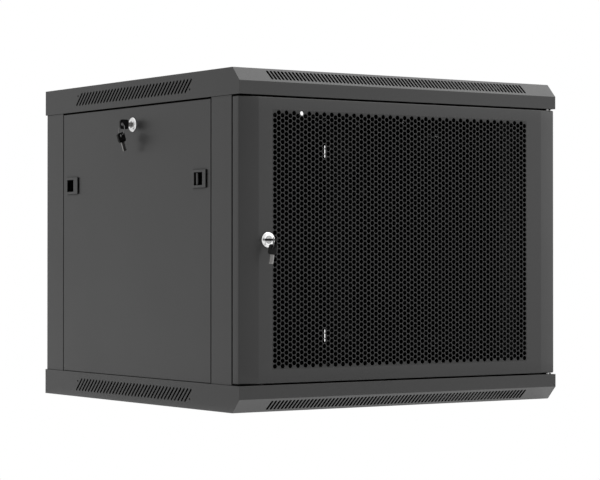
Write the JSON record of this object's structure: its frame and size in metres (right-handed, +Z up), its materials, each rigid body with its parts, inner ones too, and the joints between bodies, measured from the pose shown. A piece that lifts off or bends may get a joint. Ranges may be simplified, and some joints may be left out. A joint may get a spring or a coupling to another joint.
{
  "type": "network server rack cabinet",
  "caption": "Wall-mount rack cabinet with a perforated lockable front door, vented trays, lift-off latched side panels and adjustable equipment rails.",
  "frame": {"origin": "centre of the flat base the cabinet stands on", "axes": "+Z up, the door faces -Y, +X to the right seen from the front"},
  "size_m": [0.6309, 0.6265, 0.5034],
  "materials": {
    "graphite": "fine-textured satin powder coat, dark graphite grey",
    "black_coat": "satin black powder coat on the rails, struts and inner metalwork",
    "zinc": "bright zinc-plated fasteners",
    "chrome": "polished chrome lock fronts",
    "key_steel": "nickel-plated key blades and rings",
    "key_plastic": "black moulded key bows",
    "latch_plastic": "graphite moulded latch covers and sliders"
  },
  "bodies": {
    "cabinet": {"bottom_cap": "graphite", "top_cap": "graphite", "cable_cover_bottom": "graphite", "cable_cover_top": "graphite", "side_frame_left": "graphite", "side_frame_right": "graphite", "rear_panel": "graphite", "frame_screws": "zinc", "rail_front_left": "black_coat", "rail_front_right": "black_coat", "rail_rear_left": "black_coat", "rail_rear_right": "black_coat", "strut_lower_left": "black_coat", "strut_lower_right": "black_coat", "strut_upper_left": "black_coat", "strut_upper_right": "black_coat", "rail_bolts": "zinc", "hinge_pin_lower": "zinc", "earth_stud_frame": "zinc", "hinge_pads": "black_coat"},
    "door": {"door_skin": "graphite", "door_mesh": "graphite", "door_brace_left": "black_coat", "door_brace_right": "black_coat", "hinge_housing": "black_coat", "door_lock_barrel": "chrome", "door_lock_nut": "zinc", "earth_stud_door": "zinc"},
    "hinge_pin": {"hinge_pin_upper": "zinc"},
    "door_lock": {"door_lock_plug": "chrome", "door_lock_cam": "zinc", "door_key_blade": "key_steel", "door_key_bow": "key_plastic"},
    "door_keys": {"door_key_ring": "key_steel", "door_spare_bow": "key_plastic", "door_spare_blade": "key_steel"},
    "panel_left": {"side_panel_left": "graphite", "latch_covers_left": "latch_plastic", "side_barrel_left": "chrome", "side_nut_left": "zinc"},
    "panel_right": {"side_panel_right": "graphite", "latch_covers_right": "latch_plastic", "side_barrel_right": "chrome", "side_nut_right": "zinc"},
    "latch_front_left": {"latch_slider_front_left": "latch_plastic"},
    "latch_rear_left": {"latch_slider_rear_left": "latch_plastic"},
    "latch_front_right": {"latch_slider_front_right": "latch_plastic"},
    "latch_rear_right": {"latch_slider_rear_right": "latch_plastic"},
    "side_lock_left": {"side_plug_left": "chrome", "side_cam_left": "zinc", "side_key_blade_left": "key_steel", "side_key_bow_left": "key_plastic"},
    "side_lock_right": {"side_plug_right": "chrome", "side_cam_right": "zinc"},
    "side_keys": {"side_key_ring": "key_steel", "side_spare_bow": "key_plastic", "side_spare_blade": "key_steel"}
  },
  "joints": [
    {"name": "door_hinge", "type": "hinge", "parent": "cabinet", "child": "door", "pos_m": [0.291, -0.289, 0.2517], "axis": [0, 0, 1], "range_deg": [0, 170]},
    {"name": "hinge_pin_release", "type": "slide", "parent": "door", "child": "hinge_pin", "axis": [0, 0, -1], "range_m": [0, 0.009]},
    {"name": "door_lock_turn", "type": "hinge", "parent": "door", "child": "door_lock", "pos_m": [-0.2505, -0.3, 0.252], "axis": [0, 1, 0], "range_deg": [0, 90]},
    {"name": "door_keys_swing", "type": "hinge", "parent": "door_lock", "child": "door_keys", "pos_m": [-0.2505, -0.3137, 0.252], "axis": [0, 1, 0], "range_deg": [-3, 6]},
    {"name": "panel_left_off", "type": "slide", "parent": "cabinet", "child": "panel_left", "axis": [-1, 0, 0], "range_m": [0, 0.15]},
    {"name": "panel_right_off", "type": "slide", "parent": "cabinet", "child": "panel_right", "axis": [1, 0, 0], "range_m": [0, 0.15]},
    {"name": "latch_front_left_slide", "type": "slide", "parent": "panel_left", "child": "latch_front_left", "axis": [0, -1, 0], "range_m": [0, 0.008]},
    {"name": "latch_rear_left_slide", "type": "slide", "parent": "panel_left", "child": "latch_rear_left", "axis": [0, 1, 0], "range_m": [0, 0.008]},
    {"name": "latch_front_right_slide", "type": "slide", "parent": "panel_right", "child": "latch_front_right", "axis": [0, -1, 0], "range_m": [0, 0.008]},
    {"name": "latch_rear_right_slide", "type": "slide", "parent": "panel_right", "child": "latch_rear_right", "axis": [0, 1, 0], "range_m": [0, 0.008]},
    {"name": "side_lock_left_turn", "type": "hinge", "parent": "panel_left", "child": "side_lock_left", "pos_m": [-0.299, 0.0098, 0.4338], "axis": [1, 0, 0], "range_deg": [0, 90]},
    {"name": "side_lock_right_turn", "type": "hinge", "parent": "panel_right", "child": "side_lock_right", "pos_m": [0.299, 0.0098, 0.4338], "axis": [1, 0, 0], "range_deg": [0, 90]},
    {"name": "side_keys_swing", "type": "hinge", "parent": "side_lock_left", "child": "side_keys", "pos_m": [-0.3181, 0.0098, 0.4338], "axis": [0, 1, 0], "range_deg": [-5, 10]}
  ]
}
